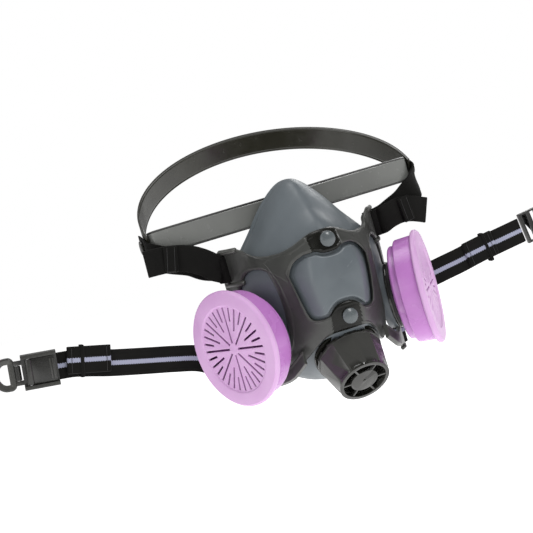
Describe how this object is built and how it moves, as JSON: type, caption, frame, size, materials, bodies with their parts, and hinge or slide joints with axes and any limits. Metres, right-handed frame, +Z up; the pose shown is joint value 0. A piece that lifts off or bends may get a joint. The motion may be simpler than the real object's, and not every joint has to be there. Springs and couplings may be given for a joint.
{
  "type": "half mask respirator",
  "caption": "Half-face respirator: rubber mask in a hard yoke, round cartridges on angled inlets, exhalation valve, head cradle and neck straps with a buckle.",
  "frame": {"origin": "centre of the face seal, where the wearer's face rests", "axes": "+X to the right when looking at the mask's front, +Y back towards the wearer, +Z up to the nose"},
  "size_m": [0.4505, 0.1848, 0.1983],
  "materials": {
    "mask_rubber": "satin",
    "flap_rubber": "smooth",
    "yoke_plastic": "satin",
    "stud_plastic": "satin",
    "port_plastic": "satin",
    "gasket_rubber": "matt",
    "valve_plastic": "glossy",
    "filter_side": "satin",
    "filter_face": "satin",
    "filter_media": "fibrous",
    "webbing": "woven",
    "neck_webbing": "woven with a pale centre stripe",
    "band_plastic": "satin",
    "rivet_plastic": "satin",
    "buckle_plastic": "glossy",
    "pin_steel": "brushed"
  },
  "bodies": {
    "mask": {"facepiece": "mask_rubber", "left_inlet_collar": "mask_rubber", "right_inlet_collar": "mask_rubber", "exhale_collar": "mask_rubber", "yoke": "yoke_plastic", "left_upper_arm": "yoke_plastic", "right_upper_arm": "yoke_plastic", "left_lower_arm": "yoke_plastic", "right_lower_arm": "yoke_plastic", "left_upper_bar": "yoke_plastic", "right_upper_bar": "yoke_plastic", "left_lower_bar": "yoke_plastic", "right_lower_bar": "yoke_plastic", "upper_stud": "stud_plastic", "lower_stud": "stud_plastic", "left_inlet_connector": "port_plastic", "right_inlet_connector": "port_plastic", "left_inlet_gasket": "gasket_rubber", "right_inlet_gasket": "gasket_rubber", "exhale_valve_seat": "valve_plastic", "left_upper_webbing": "webbing", "right_upper_webbing": "webbing", "left_webbing_end_fold": "webbing", "right_webbing_end_fold": "webbing", "left_cradle_rivet": "rivet_plastic", "right_cradle_rivet": "rivet_plastic"},
    "left_inhale_valve": {"left_inhale_flap": "flap_rubber"},
    "right_inhale_valve": {"right_inhale_flap": "flap_rubber"},
    "exhale_valve": {"exhale_flap": "flap_rubber"},
    "valve_cover": {"exhale_cover": "valve_plastic"},
    "left_filter": {"left_filter_body": "filter_side", "left_filter_lid": "filter_face", "left_filter_media": "filter_media"},
    "right_filter": {"right_filter_body": "filter_side", "right_filter_lid": "filter_face", "right_filter_media": "filter_media"},
    "head_cradle": {"cradle_front_band": "band_plastic", "cradle_rear_band": "band_plastic"},
    "left_neck": {"left_neck_strap": "neck_webbing", "left_neck_keeper": "neck_webbing", "neck_buckle_body": "buckle_plastic", "lever_pin": "pin_steel", "ring_pin": "pin_steel"},
    "right_neck": {"right_neck_strap": "neck_webbing", "right_neck_keeper": "neck_webbing", "neck_hook": "buckle_plastic"},
    "lever": {"buckle_lever": "buckle_plastic"},
    "ring": {"d_ring": "buckle_plastic"}
  },
  "joints": [
    {"name": "left_filter_turn", "type": "hinge", "parent": "mask", "child": "left_filter", "pos_m": [-0.05522, -0.01885, -0.0285], "axis": [-0.8829, -0.4695, 0], "range_deg": [0, 90]},
    {"name": "left_inhale_flap_lift", "type": "slide", "parent": "mask", "child": "left_inhale_valve", "axis": [0.8829, 0.4695, 0], "range_m": [0, 0.0015], "stiffness_N_per_m": 20},
    {"name": "right_filter_turn", "type": "hinge", "parent": "mask", "child": "right_filter", "pos_m": [0.05522, -0.01885, -0.0285], "axis": [0.8829, -0.4695, 0], "range_deg": [0, 90]},
    {"name": "right_inhale_flap_lift", "type": "slide", "parent": "mask", "child": "right_inhale_valve", "axis": [-0.8829, 0.4695, 0], "range_m": [0, 0.0015], "stiffness_N_per_m": 20},
    {"name": "exhale_flap_lift", "type": "slide", "parent": "mask", "child": "exhale_valve", "axis": [0, -0.7254, -0.6884], "range_m": [0, 0.0015], "stiffness_N_per_m": 20},
    {"name": "valve_cover_pull", "type": "slide", "parent": "mask", "child": "valve_cover", "axis": [0, -0.7254, -0.6884], "range_m": [0, 0.02]},
    {"name": "head_cradle_tilt", "type": "hinge", "parent": "mask", "child": "head_cradle", "pos_m": [0, 0.026, 0.053], "axis": [1, 0, 0], "range_deg": [0, 15]},
    {"name": "left_neck_strap_swing", "type": "hinge", "parent": "mask", "child": "left_neck", "pos_m": [-0.056, 0.006, -0.058], "axis": [0, 0, -1], "range_deg": [0, 35]},
    {"name": "right_neck_strap_swing", "type": "hinge", "parent": "mask", "child": "right_neck", "pos_m": [0.056, 0.006, -0.058], "axis": [0, 0, 1], "range_deg": [0, 35]},
    {"name": "buckle_lever_lift", "type": "hinge", "parent": "left_neck", "child": "lever", "pos_m": [-0.20805, 0.01162, -0.0055], "axis": [-0.1216, 0.0085, -0.9925], "range_deg": [0, 60]},
    {"name": "d_ring_swing", "type": "hinge", "parent": "left_neck", "child": "ring", "pos_m": [-0.21565, 0.01677, -0.00452], "axis": [0.1216, -0.0085, 0.9925], "range_deg": [-60, 60]}
  ]
}
